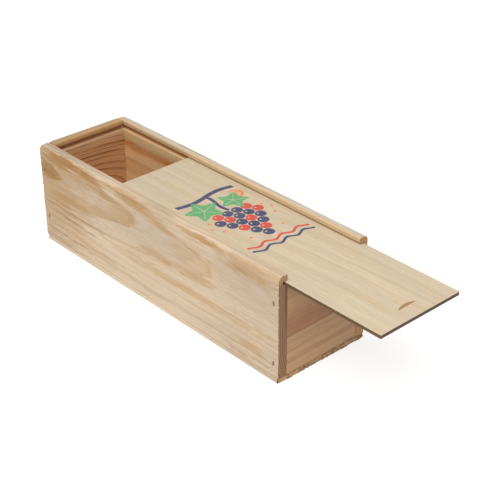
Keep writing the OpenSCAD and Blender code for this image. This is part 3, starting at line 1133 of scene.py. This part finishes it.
class BOTTLE_BOX_OT_sliding_lid(bpy.types.Operator):
    """Ease the edges of the lid and print its face"""
    bl_idname = "bottle_box.sliding_lid"
    bl_label = "Sliding lid"

    def execute(self, context):
        shape = context.scene.bottle_box_shape
        low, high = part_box("sliding_lid")
        rim_width, sharp = 2.5 * MM, math.radians(60)
        mesh = bmesh.new()
        mesh.from_mesh(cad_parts["sliding_lid"].data)
        bmesh.ops.remove_doubles(mesh, verts=mesh.verts, dist=1e-6)
        bmesh.ops.dissolve_limit(mesh, angle_limit=math.radians(0.2), verts=mesh.verts, edges=mesh.edges)

        def on_rim(v):
            return min(v.co.x - low.x, high.x - v.co.x, v.co.y - low.y, high.y - v.co.y) < rim_width

        rim = [e for e in mesh.edges if e.calc_face_angle(0) > sharp and all(on_rim(v) for v in e.verts)]
        bmesh.ops.bevel(mesh, geom=rim, offset=shape.lid_ease, segments=2, affect="EDGES", profile=0.5)
        lid = object_of("lid_dressed", mesh)
        dress(lid, "sliding_lid", self.lid_wood(context, low / MM, high / MM))
        return {"FINISHED"}

    def lid_wood(self, context, low, high):
        """Pale sanded wood, dark where it was cut and darker still with painted shade on the cut edges, with
        a print on top.
        """
        colours = context.scene.bottle_box_colours
        shade = Shade("lid_wood")
        grain = Grain(shade, LID)
        tones = Tones(colours.lid_pale, colours.lid_band, colours.lid_line, band_share=0.6, line_share=0.36)
        face = planed(shade, grain, tones)
        printed = grape_print(shade, face, grain, colours, high.z)
        # The cut edges: three plies, the middle one darker, scorched unevenly, and darkened with painted
        # shade, the front edge most
        ahead, _, up = shade.parts(shade.node("ShaderNodeTexCoord", output="Normal"))
        edge = abs(up).fall(0.55, 0.85)
        ply = abs(shade.z - (low.z + high.z) / 2).fall(0.35, 0.7)
        scorch = shade.noise(shade.x * 0.15, shade.y * 0.15, shade.z * 1.5, 3.0, 0.6)
        # Painted shade: the front edge takes the darker edge colour because of the way it faces
        side = shade.mix(colours.lid_side, colours.lid_front_edge_shaded, ahead.rise(0.3, 0.7))
        side = shade.scaled(side, 0.75 + scorch * 0.6 - ply * 0.25)
        colour = shade.mix(printed, side, edge)
        # The scoop of the thumb notch, away from the cut edges
        scoop = shade.z.fall(high.z - 0.07, high.z - 0.02) * shade.z.rise(low.z + 0.3, low.z + 0.6)
        for place, first, last in ((shade.x, low.x, high.x), (shade.y, low.y, high.y)):
            scoop = scoop * place.rise(first + 3, first + 4) * place.fall(last - 4, last - 3)
        colour = shade.mix(colour, colours.notch, scoop)
        roughness = 0.55 + grain.fibre * 0.1 + edge * 0.15
        relief = grain.fibre * 0.35 + grain.thread * 0.2 + edge * scorch
        return shade.finish(colour, roughness, relief, 0.05)


def grape_print(shade, ground, grain, colours, top, middle=(67.0, 2.0), size=1.14):
    """A plain bunch of grapes hanging from a cane, over two wavy lines, inked on the lid's face.

    u runs across the lid and v up the drawing, in millimetres before it is enlarged."""
    u = (shade.y - middle[1]) * (1 / size)
    v = (middle[0] - shade.x) * (1 / size)
    flat = shade.vector(u, v, 0.0)
    soft = 0.2

    def disc(spot, radius):
        return shade.distance(flat, (spot[0], spot[1], 0.0)).fall(radius - soft, radius + soft)

    def stroke(off_line, half):
        return abs(off_line).fall(half - soft, half + soft)

    def arc(spot, radius, half):
        return stroke(shade.distance(flat, (spot[0], spot[1], 0.0)) - radius, half)

    def leaf(spot, reach, turn):
        off_u, off_v = u - spot[0], v - spot[1]
        angle = off_v.turn_from(off_u) + turn
        far = (off_u * off_u + off_v * off_v).root()
        lobe = abs((angle * 2.5).sine())
        rim = reach * (1.0 - 0.42 * lobe + 0.035 * (angle * 35.0).sine())
        vein = (far * lobe).fall(0.7, 1.3) * far.fall(reach * 0.75, reach * 0.85)
        return (far - rim).fall(-soft, soft), vein

    blue = stroke(v - 45.0 - (u * 0.11).sine() * 2.2, 2.3) * abs(u).fall(30.0, 30.0 + soft)
    blue = blue.most(stroke(u - (v * 0.2).sine() * 1.2, 1.6) * v.rise(14.0, 16.0) * v.fall(44.0, 45.0))
    red = stroke(v + 43.0 - (u * 0.36).sine() * 1.7, 1.3) * abs(u).fall(31.0, 31.0 + soft)
    blue = blue.most(stroke(v + 49.5 - (u * 0.36).sine() * 1.7, 1.3) * abs(u).fall(31.0, 31.0 + soft))
    glints = []
    pitch, drop, radius = 10.0, 8.6, 4.8
    for row, count in enumerate((4, 5, 4, 3, 2, 1)):
        for place in range(count):
            spot = ((place - (count - 1) / 2) * pitch, 11.0 - row * drop)
            if (row + 2 * place) % 3 == 0:
                red = red.most(disc(spot, radius))
            else:
                blue = blue.most(disc(spot, radius))
            glints.append(disc((spot[0] - 1.5, spot[1] + 1.6), 0.9))
    shine = strongest(glints)
    orange = arc((23.0, 33.0), 6.0, 0.9).most(arc((25.5, 32.0), 2.8, 0.8))
    orange = orange * u.rise(19.0, 21.0)
    for spot in ((-27, 8), (-31, 0), (-26, -9), (27, 6), (31, -2), (26, -11), (-17, -30), (17, -30)):
        orange = orange.most(disc(spot, 1.3))
    left, left_vein = leaf((-16.0, 27.0), 17.0, -0.3)
    right, right_vein = leaf((14.0, 26.0), 14.0, 0.4)
    green = left.most(right)
    vein = left_vein.most(right_vein)

    worn = 0.84 + 0.16 * grain.fibre.rise(0.3, 0.6)
    worn = worn * shade.z.rise(top - 0.2, top - 0.05)
    colour = shade.mix(ground, colours.ink_orange, orange * worn)
    colour = shade.mix(colour, colours.ink_blue, blue * (1.0 - shine) * worn)
    colour = shade.mix(colour, colours.ink_red, red * (1.0 - shine) * worn)
    return shade.mix(colour, colours.ink_green, green * (1.0 - 0.7 * vein) * worn)


class BOTTLE_BOX_OT_staples(bpy.types.Operator):
    """Give the wire staples their steel"""
    bl_idname = "bottle_box.staples"
    bl_label = "Staples"

    def execute(self, context):
        colours = context.scene.bottle_box_colours
        shade = Shade("staple_steel")
        spots = shade.noise(shade.x * 1.4, shade.y * 1.4, shade.z * 1.4, 3.0, 0.6)
        scratch = shade.noise(shade.x * 0.5, shade.y * 7.0, shade.z * 7.0, 2.0)
        middle = strongest(
            shade.distance(shade.place, staple_crown(name)[0] / MM).fall(0.5, 1.1)
            for name in staples_in("near", "far"))
        colour = shade.mix(colours.wire, colours.wire_bright, middle * (0.6 + spots * 0.6))
        colour = shade.scaled(colour, 0.5 + spots * 0.9)
        shade.put(shade.surface.inputs["Metallic"], 0.25)
        shade.finish(colour, 0.5 + spots * 0.25, scratch, 0.03)
        for name in staples_in("near", "far", "base"):
            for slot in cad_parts[name].material_slots:
                slot.link = "OBJECT"
                slot.material = shade.material
        return {"FINISHED"}


class BOTTLE_BOX_OT_stage(bpy.types.Operator):
    """Lay the white floor and set the camera and the lights"""
    bl_idname = "bottle_box.stage"
    bl_label = "Stage"

    def execute(self, context):
        studio = context.scene.bottle_box_studio
        self.lay_floor(context, studio.floor_glow)
        self.light_sky(context, studio)
        self.hang_key(studio)
        self.set_camera(context, studio)
        context.scene.view_settings.view_transform = "Standard"
        context.scene.view_settings.look = "None"
        return {"FINISHED"}

    def lay_floor(self, context, glow):
        colours = context.scene.bottle_box_colours
        mesh = bmesh.new()
        bmesh.ops.create_grid(mesh, x_segments=12, y_segments=12, size=9.0)
        floor = object_of("floor", mesh)
        shade = Shade("floor_white")
        speck = shade.noise(shade.x * 0.02, shade.y * 0.02, 0.0, 2.0)
        shade.put(shade.surface.inputs["Emission Color"], (1.0, 1.0, 1.0))
        shade.put(shade.surface.inputs["Emission Strength"], glow)
        floor.data.materials.append(shade.finish(colours.floor, 0.85 + speck * 0.1))

    def light_sky(self, context, studio):
        """Bright at the horizon, where it shows behind the floor, and softer overhead."""
        world = bpy.data.worlds.new("studio_sky")
        world.use_nodes = True
        tree = world.node_tree
        tree.nodes.clear()
        place = tree.nodes.new("ShaderNodeTexCoord")
        parts = tree.nodes.new("ShaderNodeSeparateXYZ")
        level = tree.nodes.new("ShaderNodeMapRange")
        level.interpolation_type = "SMOOTHSTEP"
        for key, value in (
                ("From Min", 0.08), ("From Max", 0.4), ("To Min", studio.horizon), ("To Max", studio.sky)):
            level.inputs[key].default_value = value
        back = tree.nodes.new("ShaderNodeBackground")
        back.inputs["Color"].default_value = (1.0, 1.0, 1.0, 1.0)
        output = tree.nodes.new("ShaderNodeOutputWorld")
        for start, end in (
                (place.outputs["Generated"], parts.inputs[0]),
                (parts.outputs["Z"], level.inputs["Value"]),
                (level.outputs["Result"], back.inputs["Strength"]),
                (back.outputs[0], output.inputs["Surface"])):
            tree.links.new(start, end)
        context.scene.world = world

    def hang_key(self, studio):
        lamp = bpy.data.lights.new("softbox", "AREA")
        lamp.energy = studio.key
        lamp.shape = "SQUARE"
        lamp.size = studio.key_size
        softbox = put_in_scene("softbox", lamp)
        softbox.location = studio.key_place
        softbox.rotation_mode = "QUATERNION"
        softbox.rotation_quaternion = (-Vector(studio.key_place)).to_track_quat("-Z", "Y")

    def set_camera(self, context, studio):
        lens = bpy.data.cameras.new("camera")
        lens.lens = studio.lens
        lens.sensor_width = 36.0
        lens.clip_start = 0.01
        camera = put_in_scene("camera", lens)
        aim = Vector(studio.camera_aim).normalized()
        level = aim.cross(Vector((0, 0, 1))).normalized()
        rise = level.cross(aim)
        turn = studio.camera_roll
        right = level * math.cos(turn) + rise * math.sin(turn)
        up = rise * math.cos(turn) - level * math.sin(turn)
        pose = Matrix((right, up, -aim)).transposed().to_4x4()
        pose.translation = studio.camera_place
        camera.matrix_world = pose
        context.scene.camera = camera


OPERATORS = (
    BOTTLE_BOX_OT_side_boards, BOTTLE_BOX_OT_end_boards, BOTTLE_BOX_OT_bottom_board,
    BOTTLE_BOX_OT_sliding_lid, BOTTLE_BOX_OT_staples, BOTTLE_BOX_OT_stage,
)


class BOTTLE_BOX_PT_panel(bpy.types.Panel):
    """Sizes, colours and steps of the pine bottle box"""
    bl_idname = "BOTTLE_BOX_PT_panel"
    bl_label = "Pine Bottle Box"
    bl_space_type = "VIEW_3D"
    bl_region_type = "UI"
    bl_category = "Bottle Box"

    def draw(self, context):
        for operator in OPERATORS:
            self.layout.operator(operator.bl_idname)
        for name, group in SETTINGS.items():
            box = self.layout.box()
            for key in group.__annotations__:
                box.prop(getattr(context.scene, name), key)


def register():
    for group in SETTINGS.values():
        bpy.utils.register_class(group)
    for made in OPERATORS + (BOTTLE_BOX_PT_panel,):
        bpy.utils.register_class(made)
    for name, group in SETTINGS.items():
        setattr(bpy.types.Scene, name, PointerProperty(type=group))


def unregister():
    for name in SETTINGS:
        delattr(bpy.types.Scene, name)
    for made in reversed(tuple(SETTINGS.values()) + OPERATORS + (BOTTLE_BOX_PT_panel,)):
        bpy.utils.unregister_class(made)


def main():
    register()
    bpy.ops.bottle_box.side_boards()
    bpy.ops.bottle_box.end_boards()
    bpy.ops.bottle_box.bottom_board()
    bpy.ops.bottle_box.sliding_lid()
    bpy.ops.bottle_box.staples()
    bpy.ops.bottle_box.stage()


if __name__ == "__main__":
    main()
